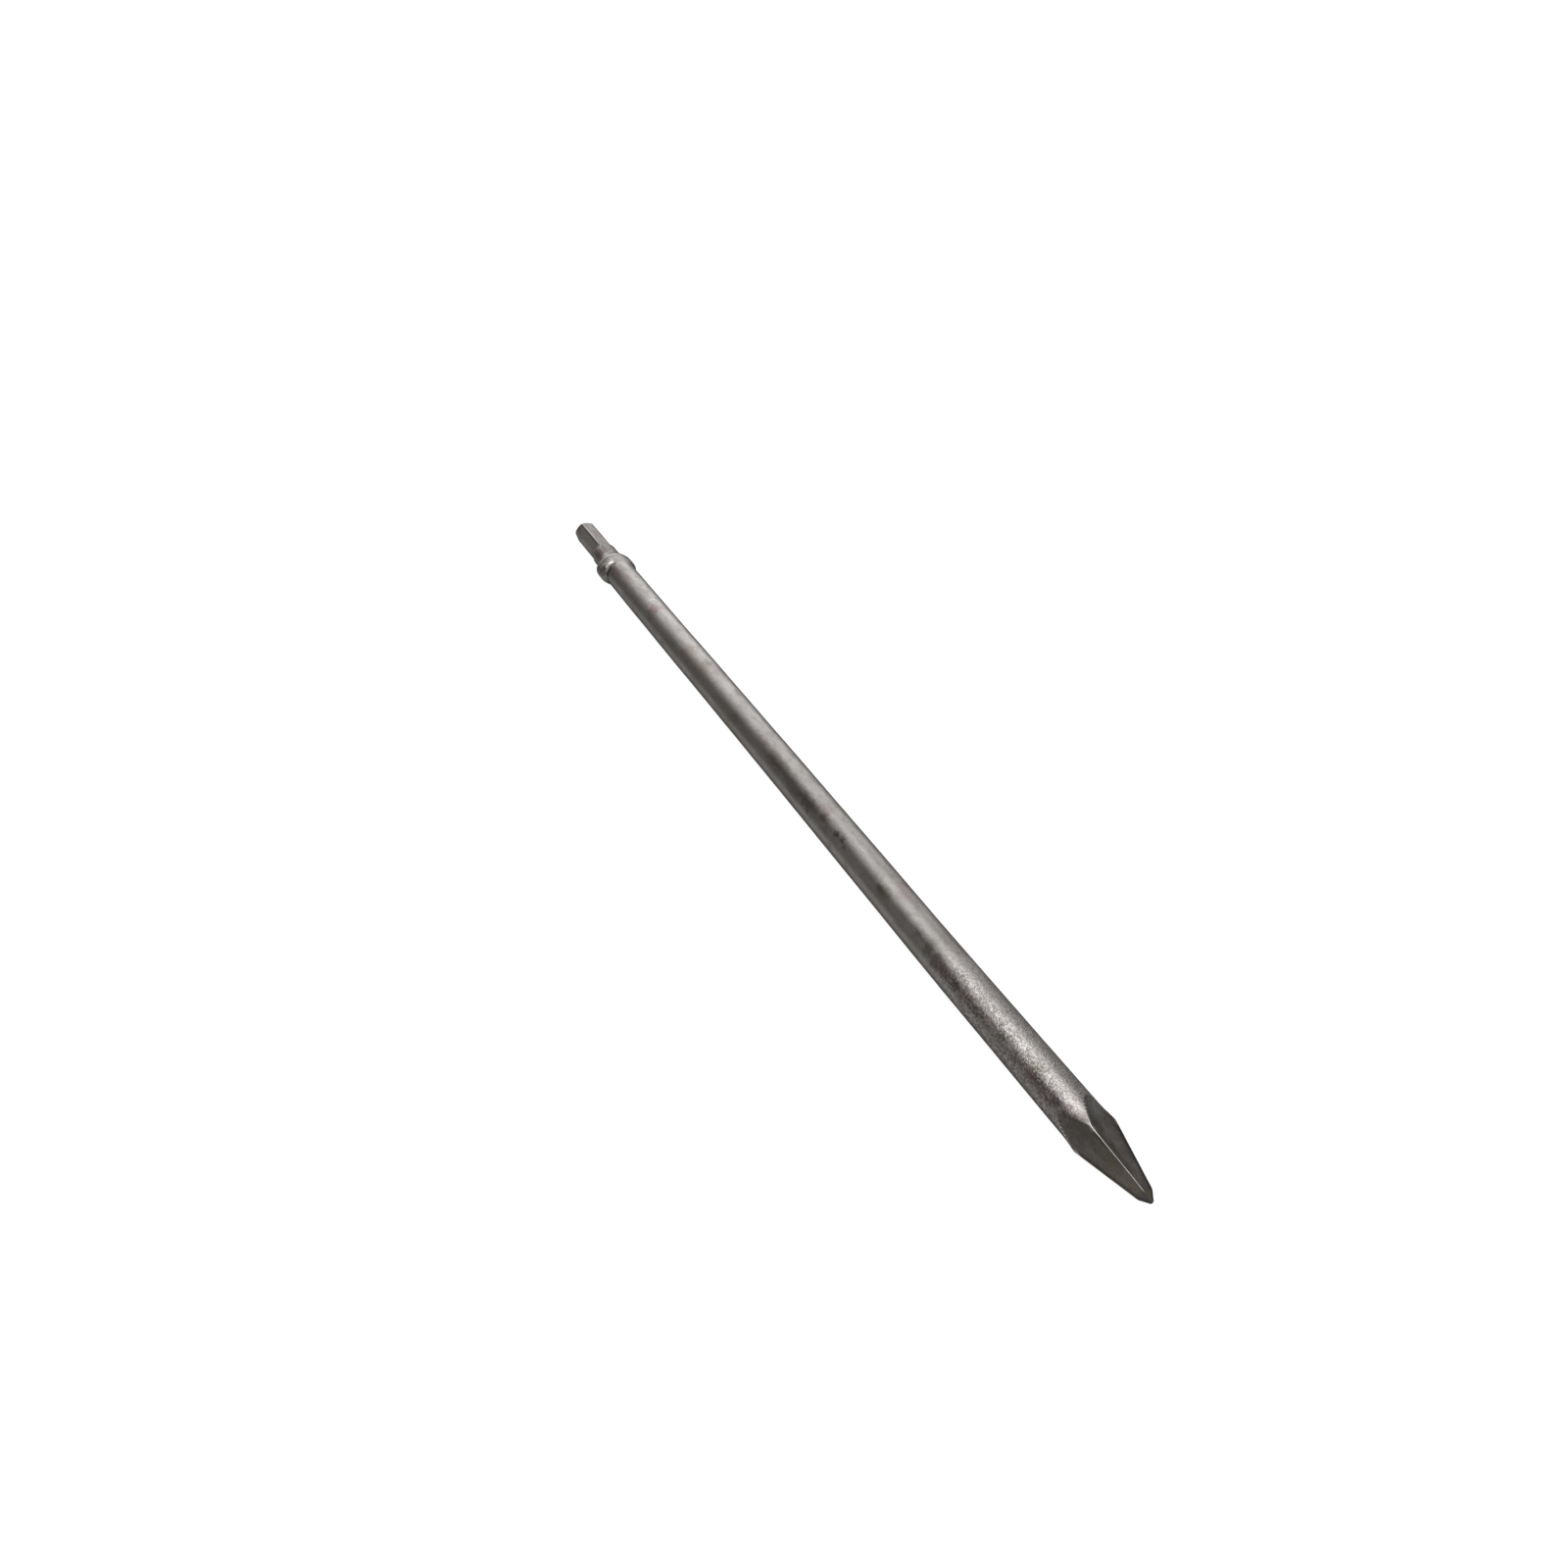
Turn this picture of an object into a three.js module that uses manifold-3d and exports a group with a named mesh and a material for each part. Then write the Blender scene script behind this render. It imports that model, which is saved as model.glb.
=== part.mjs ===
// A forged moil-point (bull-point) chisel for a hammer with a hexagonal chuck.
//
// One steel forging: hexagonal shank, round neck, oval collar, round bar and a four-sided point
// that ends in a short, steeper nose. Millimetres. In the finished frame the origin is the centre
// of the flat striking face, +X runs along the tool towards the point and +Z is up, with the tool
// rolled the way it lies on a flat bench.
//
// Every solid is first made about the Y axis: striking face at y = 0, point at +Y, a corner of the
// hexagon on +Z. A station is a distance along Y. The finished mesh is then laid down along +X.

import * as THREE from "three";
import { mergeVertices } from "three/addons/utils/BufferGeometryUtils.js";
import Module from "manifold-3d";

const { degToRad } = THREE.MathUtils;

// ---- driving dimensions, mm and degrees ----
const LENGTH = 610; // overall, a 24 inch tool

const HEX_ACROSS_FLATS = 14.4; // for a 0.580 inch hexagonal bushing, with running clearance
const HEX_APOTHEM = HEX_ACROSS_FLATS / 2;
const HEX_CORNER_RADIUS = 1; // rounding of the hexagon's corners
const HEX_LENGTH = 34.4; // striking face to where the run-out into the neck begins
const HEX_RUNOUT = 4.5; // length of that run-out
const HEX_END = HEX_LENGTH + HEX_RUNOUT + 2; // the hexagon ends inside the neck
const CHAMFER = 0.78; // 45 degree chamfer at the striking face, measured in from the flats

const NECK_RADIUS = 8.8;
const SHOULDER_START = 49.5; // the neck begins to swell into the bar
const SHOULDER_END = 56;

const COLLAR_CENTRE = 60.3; // station of the collar's widest ring
const EARS = {
  radius: 8.9, // half width across the ears, sunk in the bar
  rounding: 2.6,
  back: 7.6, // half length towards the shank
  front: 7.9, // half length towards the point
};
const EARS_HALF_SPAN = 13.35; // half width over the two ears
const EARS_TWIST = -12.6; // turn of the ears from X, about the tool's axis
const RIM = { radius: 10.4, rounding: 1.6, back: 5.2, front: 5.2 }; // low rim between the ears

const BAR_RADIUS_COLLAR = 10.15; // at the collar end
const BAR_RADIUS_POINT = 10.3; // at the point end
const BAR_START = 70; // the bar's long taper begins

const FLARE_START = 565; // the bar spreads a little towards the point
const CORNER = 575.3; // station of the four corners where the ridges begin
const CORNER_RADIUS = 11.15;
const NOSE = 605.8; // the facets turn in to the steeper nose
const NOSE_RADIUS = 3.66; // ridge radius there
const TIP_RADIUS = 0.7; // ridge radius of the small blunt end
const POINT_TWIST = 6.8; // turn of the ridges from Z, about the tool's axis

const REST_ROLL = 14.5; // rolled to rest on the collar's rim and a corner of the point

// ---- mesh resolution ----
const TURN_SEGMENTS = 84; // sides of a full turn on every round surface
const HEX_CORNER_SEGMENTS = 6;
const SWELL_STEPS = 6; // along each swelling part of the bar
const RING_STEPS = 8; // from the crest of a collar ring to each end

// ---- helpers ----
const wasm = await Module();
wasm.setup();

// A closed geometry as a solid: shared vertices merged and collapsed triangles dropped.
function solid(geometry) {
  geometry.deleteAttribute("normal");
  geometry.deleteAttribute("uv");
  const merged = mergeVertices(geometry, 1e-4);
  const corners = merged.index.array;
  const triangles = [];
  for (let i = 0; i < corners.length; i += 3) {
    const [a, b, c] = corners.slice(i, i + 3);
    if (a !== b && b !== c && a !== c) triangles.push(a, b, c);
  }
  return new wasm.Manifold(
    new wasm.Mesh({
      numProp: 3,
      vertProperties: new Float32Array(merged.attributes.position.array),
      triVerts: new Uint32Array(triangles),
    }),
  );
}

// A surface of revolution about Y from [radius, station] pairs, the first and last on the axis.
function turned(profile) {
  const points = profile.map(([radius, station]) => new THREE.Vector2(radius, station));
  return new THREE.LatheGeometry(points, TURN_SEGMENTS);
}

// Profile points between two [radius, station] pairs; blend shapes the change of radius.
function swell([startRadius, start], [endRadius, end], blend) {
  const points = [];
  for (let i = 0; i <= SWELL_STEPS; i++) {
    const t = i / SWELL_STEPS;
    points.push([
      startRadius + (endRadius - startRadius) * blend(t),
      start + (end - start) * t,
    ]);
  }
  return points;
}

const flatEnded = (t) => t * t * (3 - 2 * t); // level at both ends
const flatStarted = (t) => t * t; // level at the start only

// ---- hexagonal shank ----
// Six flats joined by arcs, with a corner on the shape's -Y, which becomes +Z once upright.
function hexagonBar() {
  const arcCentre = (HEX_APOTHEM - HEX_CORNER_RADIUS) / Math.cos(Math.PI / 6);
  const outline = new THREE.Shape();
  for (let k = 0; k < 6; k++) {
    const angle = -Math.PI / 2 + (k * Math.PI) / 3;
    outline.absarc(
      arcCentre * Math.cos(angle),
      arcCentre * Math.sin(angle),
      HEX_CORNER_RADIUS,
      angle - Math.PI / 6,
      angle + Math.PI / 6,
      false,
    );
  }
  const geometry = new THREE.ExtrudeGeometry(outline, {
    depth: HEX_END,
    bevelEnabled: false,
    curveSegments: HEX_CORNER_SEGMENTS,
    steps: 1,
  });
  geometry.rotateX(-Math.PI / 2); // upright along +Y
  return solid(geometry);
}

// The hexagon inside a turned blank that chamfers it at the striking face.
function makeShank() {
  const clearance = 3; // the blank clears the flats, and so the corners, by this
  const blank = turned([
    [0, 0],
    [HEX_APOTHEM - CHAMFER, 0],
    [HEX_APOTHEM + clearance, CHAMFER + clearance],
    [HEX_APOTHEM + clearance, HEX_END],
    [0, HEX_END],
  ]);
  return hexagonBar().intersect(solid(blank));
}

// ---- neck, bar and the spread at the point, all one turned profile ----
function makeBar() {
  const blankRadius = CORNER_RADIUS + 0.6; // oversize past the corners, for the point to cut
  const blankEnd = LENGTH + 1;
  return solid(
    turned([
      // Run-out: starts inside the hexagon and swells through its flats, then its corners.
      [0, HEX_LENGTH],
      [HEX_APOTHEM - 1.2, HEX_LENGTH],
      [HEX_APOTHEM + 0.1, HEX_LENGTH + 0.45 * HEX_RUNOUT],
      [NECK_RADIUS - 0.35, HEX_LENGTH + 0.8 * HEX_RUNOUT],
      [NECK_RADIUS, HEX_LENGTH + HEX_RUNOUT + 0.6],
      // Shoulder
      ...swell([NECK_RADIUS, SHOULDER_START], [BAR_RADIUS_COLLAR, SHOULDER_END], flatEnded),
      [BAR_RADIUS_COLLAR, BAR_START],
      // Spread at the point
      ...swell([BAR_RADIUS_POINT, FLARE_START], [CORNER_RADIUS, CORNER], flatStarted),
      [blankRadius, CORNER + 6],
      [blankRadius, blankEnd],
      [0, blankEnd],
    ]),
  );
}

// ---- oval collar ----
// A ring with rounded edges that drop by the rounding from the crest radius to each end.
function collarRing({ radius, rounding, back, front }) {
  const roundness = 3.2; // superellipse exponent: 2 is an ellipse, higher is squarer
  const profile = [[0, COLLAR_CENTRE - back]];
  for (let i = -RING_STEPS; i <= RING_STEPS; i++) {
    const along = Math.sin((i / RING_STEPS) * (Math.PI / 2)); // -1 at the back, 1 at the front
    const height = (1 - Math.abs(along) ** roundness) ** (1 / roundness);
    profile.push([
      radius - rounding * (1 - height),
      COLLAR_CENTRE + (along < 0 ? back : front) * along,
    ]);
  }
  profile.push([0, COLLAR_CENTRE + front]);
  return turned(profile);
}

// The ears are a ring stretched across, so that it stands proud of the bar only at its two ends.
function makeCollar() {
  const ears = collarRing(EARS);
  ears.scale(EARS_HALF_SPAN / EARS.radius, 1, 1);
  ears.rotateY(degToRad(EARS_TWIST));
  return solid(ears).add(solid(collarRing(RIM)));
}

// ---- the four-sided point ----
// A four-sided taper on the tool's axis, through two [ridge radius, station] pairs. It runs from
// behind the striking face to the tip.
function pyramid([startRadius, start], [endRadius, end]) {
  const slope = (endRadius - startRadius) / (end - start);
  const radiusAt = (station) => startRadius + slope * (station - start);
  const base = -10;
  const geometry = new THREE.CylinderGeometry(
    radiusAt(LENGTH),
    radiusAt(base),
    LENGTH - base,
    4,
    1,
    false,
    degToRad(POINT_TWIST),
  );
  geometry.translate(0, (LENGTH + base) / 2, 0);
  return solid(geometry);
}

// The forging is what lies inside both the slender facets and the steep nose.
function makeForging() {
  const facets = pyramid([CORNER_RADIUS, CORNER], [NOSE_RADIUS, NOSE]);
  const nose = pyramid([NOSE_RADIUS, NOSE], [TIP_RADIUS, LENGTH]);
  return makeBar().add(makeShank()).add(makeCollar()).intersect(facets).intersect(nose);
}

// ---- the finished piece ----
function toGeometry(manifold) {
  const { vertProperties, triVerts } = manifold.getMesh();
  const geometry = new THREE.BufferGeometry();
  geometry.setAttribute("position", new THREE.BufferAttribute(vertProperties, 3));
  geometry.setIndex(new THREE.BufferAttribute(triVerts, 1));
  geometry.computeVertexNormals();
  return geometry;
}

const forgedSteel = new THREE.MeshStandardMaterial({
  color: 0x77726d,
  roughness: 0.45,
  metalness: 1.0,
});

const chisel = new THREE.Mesh(toGeometry(makeForging()), forgedSteel);
chisel.name = "moil_point_chisel";
chisel.rotation.z = -Math.PI / 2; // laid down: striking face at x = 0, point along +X

const onBench = new THREE.Group();
onBench.rotation.x = degToRad(REST_ROLL);
onBench.add(chisel);

const object = new THREE.Group();
object.add(onBench);

export default object;
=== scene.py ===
# A forged moil-point chisel lying on a pale floor. The frame is in metres: origin at the centre
# of the striking face, +X towards the point, +Z up. The shape is worked out in millimetres:
# stations x run from the striking face, angles phi round the tool's axis from +Z towards +Y.

import math

import bpy
import numpy as np
from mathutils import Matrix, Vector


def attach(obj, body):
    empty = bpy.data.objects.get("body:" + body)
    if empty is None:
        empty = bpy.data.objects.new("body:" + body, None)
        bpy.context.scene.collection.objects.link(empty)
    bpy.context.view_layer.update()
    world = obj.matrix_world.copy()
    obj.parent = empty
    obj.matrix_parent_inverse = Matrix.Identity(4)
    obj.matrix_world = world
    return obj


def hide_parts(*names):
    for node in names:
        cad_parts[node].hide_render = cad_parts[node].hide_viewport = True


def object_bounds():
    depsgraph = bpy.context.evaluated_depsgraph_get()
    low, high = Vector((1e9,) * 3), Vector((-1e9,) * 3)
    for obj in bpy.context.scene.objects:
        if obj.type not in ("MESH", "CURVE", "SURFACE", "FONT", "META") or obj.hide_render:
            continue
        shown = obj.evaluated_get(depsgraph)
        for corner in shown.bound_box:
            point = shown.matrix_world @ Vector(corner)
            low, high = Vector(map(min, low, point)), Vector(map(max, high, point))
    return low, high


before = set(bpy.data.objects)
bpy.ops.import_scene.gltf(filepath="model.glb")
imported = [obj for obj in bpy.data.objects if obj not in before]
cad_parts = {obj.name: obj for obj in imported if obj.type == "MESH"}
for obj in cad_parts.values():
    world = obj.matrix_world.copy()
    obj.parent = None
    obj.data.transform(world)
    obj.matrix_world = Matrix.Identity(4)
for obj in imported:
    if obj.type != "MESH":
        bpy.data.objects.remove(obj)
cad_lo, cad_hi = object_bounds()
DEGREE = math.pi / 180.0

# ---------------------------------------------------------------- sizes of the forging, mm

LENGTH = 610.0
HEX_APOTHEM = 7.2
HEX_CORNER = 1.0
HEX_PHI = -14.5  # a corner of the hexagon
HEX_END = 34.0  # the flats run out into the neck
HEX_FADE = 1.5  # the neck starts to rise this far before HEX_END
CHAMFER = 0.75
NECK_START = 38.2
NECK_RADIUS = 8.8
SHOULDER = (49.6, 55.8)
BAR_TAPER = (70.0, 560.0)
BAR_RADIUS = (10.15, 10.385)  # at the two ends of the taper
COLLAR_FOOT = 8.6  # radius from which the collar rises, inside the bar
RIM_RADIUS = 10.4
EAR_PHI = 88.1  # the +Y ear; the -Y ear is opposite
EAR_SPREAD = 33.0
# height over the rim, station, half lengths towards the face and the point, squareness of each
EAR_MINUS_Y = (2.84, 59.95, 7.3, 6.9, 4.0, 4.1)
EAR_PLUS_Y = (2.18, 61.0, 6.2, 8.4, 4.4, 3.2)
RIDGE_PHI = -22.4  # the topmost ridge of the four-sided point
FLARE = 565.5
CORNER = 575.2
CORNER_RADIUS = 11.17
CORNER_EXCESS = 0.02  # the flare reaches this far over the ridges
RIDGE_ROUND = 0.26
NOSE = 605.8
NOSE_RADIUS = 3.72
NOSE_ROUND = 0.25
TIP_RADIUS = 0.72

# Laps just past the rim: phi, half spread in degrees, station, lean in mm per degree, depth
LAPS = (
    (-50.0, 38.0, 64.4, 0.120, 0.55),
    (118.0, 30.0, 66.5, -0.07, 0.35),
    (196.0, 26.0, 65.0, 0.06, 0.3),
)
BURR_PHI = -43.5
BURR_STATION = 63.9
BURR_HEIGHT = 0.80

# Soft-edged patches: depth or strength, phi, spread in degrees, station, width, lean
HOLLOWS = (
    (0.14, -12.0, 30.0, 58.9, 0.7, 0.02),  # crease between the two low folds
    (0.10, -30.0, 40.0, 54.2, 1.6, 0.0),  # where the die met the rim's face side
)
# Painted highlights along the tops of two low folds on the face side of the burr
FOLD_HIGHLIGHTS = (
    (0.42, -10.0, 24.0, 56.9, 0.5, 0.055),
    (0.34, -22.0, 24.0, 61.4, 0.5, 0.055),
)
# Painted shade in creases round the collar
SHADED_PATCHES = (
    (0.42, -66.0, 20.0, 63.6, 1.0, 0.10),
    (0.75, 70.0, 24.0, 67.6, 1.6, 0.0),  # where the +Y ear steps down to the bar
    (0.45, -70.0, 40.0, 53.4, 1.5, 0.0),
)

# Slight sideways bend of the bar: station, offset towards +Y
BEND_KNOTS = (
    (0, 0.12), (60, 0), (140, -0.32), (220, -0.18), (300, -0.25),
    (380, -0.46), (460, -0.86), (530, -0.58), (590, 0), (610, 0.1),
)
BEND_BLUR = 24.0
BEND_REACH = 60  # half width of the smoothing window

COLUMNS = 120  # vertices round each ring
# Runs of rings: first station, last station, number of rings counting both
RING_RUNS = (
    (0.0, 2.4, 10), (2.4, 30.0, 40), (30.0, 57.0, 70),
    (57.0, 71.0, 66), (71.0, 470.0, 346), (470.0, 560.0, 100),
    (560.0, 578.0, 84), (578.0, 603.0, 44), (603.0, 609.62, 30),
)
# Rings closing the ends: share of the rim's size, shift towards the point
FACE_DISH = 0.07
FACE_RINGS = [
    (share, FACE_DISH * (1 - share**4))
    for share in (0.985, 0.94, 0.86, 0.74, 0.6, 0.44, 0.28, 0.12)
]
TIP_RINGS = [
    (share, 0.34 * math.sqrt(1 - share**2)) for share in (0.96, 0.86, 0.72, 0.55, 0.36, 0.16)
]
TIP_RISE = 0.36

# ---------------------------------------------------------------- curves and sections


def ease(start, end, x):
    """0 at start, 1 at end, flat at both; start may be the larger."""
    part = np.clip((x - start) / (end - start), 0, 1)
    return part * part * (3 - 2 * part)


def stretch(x, rise, fall):
    """1 between two eased ends, 0 outside them."""
    return ease(*rise, x) * (1 - ease(*fall, x))


def bell(distance, width):
    return np.exp(-((distance / width) ** 2))


def soft_max(a, b, blend):
    share = np.clip(0.5 + 0.5 * (a - b) / blend, 0, 1)
    return b + (a - b) * share + blend * share * (1 - share)


def soft_min(a, b, blend):
    return -soft_max(-a, -b, blend)


def fold(phi, corner_phi, sides):
    """Signed angle in radians from the nearest corner of a regular section."""
    pitch = 2 * np.pi / sides
    return np.mod(phi - corner_phi * DEGREE + pitch / 2, pitch) - pitch / 2


def arc_gap(phi, line_phi):
    """Signed angle in degrees from the line at line_phi."""
    return (np.degrees(phi) - line_phi + 180.0) % 360.0 - 180.0


def patch(x, phi, line_phi, spread, station, width, lean):
    gap = arc_gap(phi, line_phi)
    return bell(x - station - lean * gap, width) * bell(gap, spread)


def polygon(phi, sides, corner_phi, apothem, corner):
    """Radius of a regular polygon whose corners are rounded by arcs."""
    half = math.pi / sides
    angle = np.abs(fold(phi, corner_phi, sides))
    centre = (apothem - corner) / math.cos(half)
    arc_end = np.arctan2(corner * math.sin(half), centre + corner * math.cos(half))
    under_root = np.clip(corner**2 - (centre * np.sin(angle)) ** 2, 0, None)
    arc = centre * np.cos(angle) + np.sqrt(under_root)
    return np.where(angle < arc_end, arc, apothem / np.cos(half - angle))


def ridged(phi, ridge, corner):
    """Four-sided section whose rounded ridges stand at radius `ridge`."""
    apothem = (ridge + 0.41421 * corner) / math.sqrt(2)  # 0.41421 is root 2 less 1
    return polygon(phi, 4, RIDGE_PHI, apothem, corner)


# ---------------------------------------------------------------- seeded noise on the skin

NOISE_LENGTH = 640.0


def field(seed, shape, blur_x, blur_phi):
    """Smooth noise of unit spread on station and angle; blurs in mm and degrees."""
    rows, columns = shape
    waves = np.fft.rfft2(np.random.RandomState(seed).standard_normal(shape))
    per_mm = np.fft.fftfreq(rows, NOISE_LENGTH / rows)[:, None]
    per_degree = np.fft.rfftfreq(columns, 360.0 / columns)[None, :]
    waves *= np.exp(-2 * (np.pi * per_mm * blur_x) ** 2) * np.exp(
        -2 * (np.pi * per_degree * blur_phi) ** 2
    )
    noise = np.fft.irfft2(waves, s=shape)
    return noise / noise.std()


def sample(noise, x, phi):
    rows, columns = noise.shape
    row = np.clip(x / NOISE_LENGTH * rows, 0, rows - 1.001)
    column = np.mod(np.degrees(phi), 360.0) / 360.0 * columns
    row_0, column_0 = row.astype(int), column.astype(int) % columns
    row_1, column_1 = np.minimum(row_0 + 1, rows - 1), (column_0 + 1) % columns
    along, around = row - row_0, column - np.floor(column)
    near = noise[row_0, column_0] * (1 - along) + noise[row_1, column_0] * along
    far = noise[row_0, column_1] * (1 - along) + noise[row_1, column_1] * along
    return near * (1 - around) + far * around


wave = field(11, (640, 90), 11.0, 22.0)  # hammer and roll waviness
dimple = field(12, (1280, 180), 2.2, 9.0)  # small flats and hollows of the forged skin
scale_marks = field(13, (1600, 256), 0.8, 4.2)  # where scale was pressed in
facet_marks = field(14, (1600, 256), 1.6, 6.0)

# ---------------------------------------------------------------- smooth shape


def shank_radius(x, phi):
    """Hexagonal shank, with its chamfered end and the run-out into the neck."""
    hexagon = polygon(phi, 6, HEX_PHI, HEX_APOTHEM, HEX_CORNER)
    shank = soft_min(hexagon, HEX_APOTHEM - 0.55 * CHAMFER + x, 0.3)
    middle = 0.5 * (HEX_END + NECK_START)
    neck = np.interp(
        x,
        [HEX_END - HEX_FADE, HEX_END, middle, NECK_START, NECK_START + 1.2],
        [4.0, 6.3, HEX_APOTHEM + 0.4, NECK_RADIUS - 0.12, NECK_RADIUS],
    )
    return np.where(x < HEX_END - HEX_FADE, shank, soft_max(shank, neck, 0.5))


def flare_rise(x):
    """The small spread of the bar before the point."""
    spread = np.clip((x - FLARE) / (CORNER - FLARE), 0, 1.6)
    return (CORNER_RADIUS + CORNER_EXCESS - BAR_RADIUS[1]) * spread**2


def bar_radius(x):
    bar = np.interp(x, BAR_TAPER, BAR_RADIUS)
    return NECK_RADIUS + (bar - NECK_RADIUS) * ease(*SHOULDER, x) + flare_rise(x)


def add_collar(radius, x, phi):
    """A low rim all round and two unlike ears."""
    side = np.clip(0.5 + 0.75 * np.sin(phi - (EAR_PHI - 90) * DEGREE), 0, 1)
    height, station, face_half, point_half, face_square, point_square = (
        minus_y + (plus_y - minus_y) * side for minus_y, plus_y in zip(EAR_MINUS_Y, EAR_PLUS_Y)
    )
    top = RIM_RADIUS + height * bell(fold(phi, EAR_PHI, 2) / DEGREE, EAR_SPREAD)
    offset = x - station
    to_face = np.clip(-offset / face_half, 0, 1)
    to_point = np.clip(offset / point_half, 0, 1)
    body = np.where(
        offset < 0,
        (1 - to_face**face_square) ** (1 / face_square),
        (1 - to_point**point_square) ** (1 / point_square),
    )
    collar = COLLAR_FOOT + (top - COLLAR_FOOT) * body
    inside = (offset > -face_half) & (offset < point_half)
    return np.where(inside, soft_max(radius, collar, 0.35), radius)


def point_radius(x, phi):
    slope = (CORNER_RADIUS - NOSE_RADIUS) / (NOSE - CORNER)
    return ridged(phi, NOSE_RADIUS + (NOSE - x) * slope, RIDGE_ROUND)


def nose_radius(x, phi):
    """The steeper end of the point."""
    ridge = TIP_RADIUS + (LENGTH - x) * (NOSE_RADIUS - TIP_RADIUS) / (LENGTH - NOSE)
    return ridged(phi, ridge, NOSE_ROUND)


def smooth_radius(x, phi):
    radius = np.where(x > NECK_START + 2, bar_radius(x), shank_radius(x, phi))
    radius = add_collar(radius, x, phi)
    radius = np.where(x > 540, soft_min(radius, point_radius(x, phi), 0.16), radius)
    return np.where(x > 590, soft_min(radius, nose_radius(x, phi), 0.3), radius)


# ---------------------------------------------------------------- forged skin


def lap_shape(x, phi, line_phi, half, station, lean):
    """Share of the lap present at this angle, and distance past its line."""
    gap = arc_gap(phi, line_phi)
    line = x - (station + lean * gap + 0.35 * np.sin(gap * 0.23))
    return 1 - ease(half * 0.6, half, np.abs(gap)), line


def burr(x, phi):
    """Lip of folded metal on the rim: its height share, and a mask of its point side, where a
    highlight is painted.
    """
    gap = arc_gap(phi, BURR_PHI)
    crest = BURR_STATION + 0.045 * gap - 0.0006 * gap**2 + 0.05 * np.sin(gap * 0.5)
    offset = x - crest
    run = stretch(gap, (-21, -9), (10, 30))
    flank_width = np.clip(0.66 + 0.012 * gap, 0.45, 0.9)
    height = bell(offset, np.where(offset < 0, 1.8, 1.1))
    return height * run, bell(offset - 0.8, flank_width) * run


def skin(x, phi):
    """How far the forged skin stands from the smooth shape."""
    on_bar = stretch(x, (62, 74), (560, 576))
    on_shank = 1 - ease(28, 36, x)
    on_neck = stretch(x, (34, 42), (50, 56))
    on_point = ease(566, 578, x)
    scale = sample(scale_marks, x, phi)
    relief = sample(wave, x, phi) * (0.024 * on_bar + 0.012 * on_shank + 0.03 * on_neck)
    relief += sample(dimple, x, phi) * (
        0.011 * on_bar + 0.007 * on_shank + 0.02 * on_neck + 0.004 * on_point
    )
    pressed = np.clip(scale - 1.5, 0, 2.2)
    relief -= pressed * (0.030 * on_bar + 0.02 * on_neck + 0.012 * on_shank)
    # the bar is rougher over its last stretch
    relief += scale * 0.012 * stretch(x, (455, 480), (556, 568))
    relief += sample(facet_marks, x, phi) * 0.008 * stretch(x, (566, 578), (600, 608))
    # each lap is a groove with a lip beside it
    for *place, depth in LAPS:
        present, line = lap_shape(x, phi, *place)
        relief -= depth * present * bell(line, 0.5)
        relief += 0.16 * depth * present * bell(line + 1.3, 0.8)
    relief += BURR_HEIGHT * burr(x, phi)[0]
    for depth, *place in HOLLOWS:
        relief -= depth * patch(x, phi, *place)
    return relief


# ---------------------------------------------------------------- masks for the steel


def facet_depth(x, phi):
    """How deep the point's facets cut below the bar."""
    return BAR_RADIUS[1] + flare_rise(x) - point_radius(x, phi)


def wear_and_highlight_mask(x, phi, radius, depth):
    """Painted highlights on the ridges, rims, folds and the burr, with some burnishing of the
    edges.
    """
    mottle = sample(dimple, x, phi)
    uneven = 0.75 + 0.25 * np.clip(mottle, -1, 1)
    # painted highlights along the ridges of the point, widest and brightest at their corners
    ridge = fold(phi, RIDGE_PHI, 4) * radius
    wear_and_highlight = bell(ridge, 0.15 + 0.62 * bell(x - 575.6, 2.3))
    wear_and_highlight *= stretch(x, (571.8, 574.6), (604.6, 606.2))
    wear_and_highlight *= 0.30 + 0.12 * ease(592, 580, x) + 0.58 * bell(x - 576.2, 3.6)
    # painted highlights with some wear along the edges of the hexagon
    hex_edge = fold(phi, HEX_PHI, 6) * radius
    edges = 0.42 * bell(hex_edge - 0.10, 0.36) * stretch(x, (0.5, 2), (30, 35)) * uneven
    wear_and_highlight = np.maximum(wear_and_highlight, edges)
    # painted highlights on the rims of the four arches where the facets cut the bar, brighter on
    # their lower-phi halves
    side = depth - CORNER_EXCESS
    first_half = ease(0.06, -0.12, fold(phi, RIDGE_PHI + 45.0, 4))
    rim = bell(side, np.where(side < 0, 0.05, 0.07 + 0.07 * first_half))
    rim *= stretch(x, (558, 561), (573, 577))
    wear_and_highlight = np.maximum(wear_and_highlight, (0.15 + 0.85 * first_half) * rim * uneven)
    # painted highlight on the point side of the burr
    wear_and_highlight = np.maximum(wear_and_highlight, np.clip(1.25 * burr(x, phi)[1], 0, 1))
    # painted highlights along the tops of two low folds on the face side of the burr
    fold_highlight_mottle = 0.6 + 0.5 * np.clip(sample(dimple, x * 2.0, phi), -1, 1)
    for strength, *place in FOLD_HIGHLIGHTS:
        wear_and_highlight = np.maximum(wear_and_highlight, strength * patch(x, phi, *place) * fold_highlight_mottle)
    return wear_and_highlight


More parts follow.
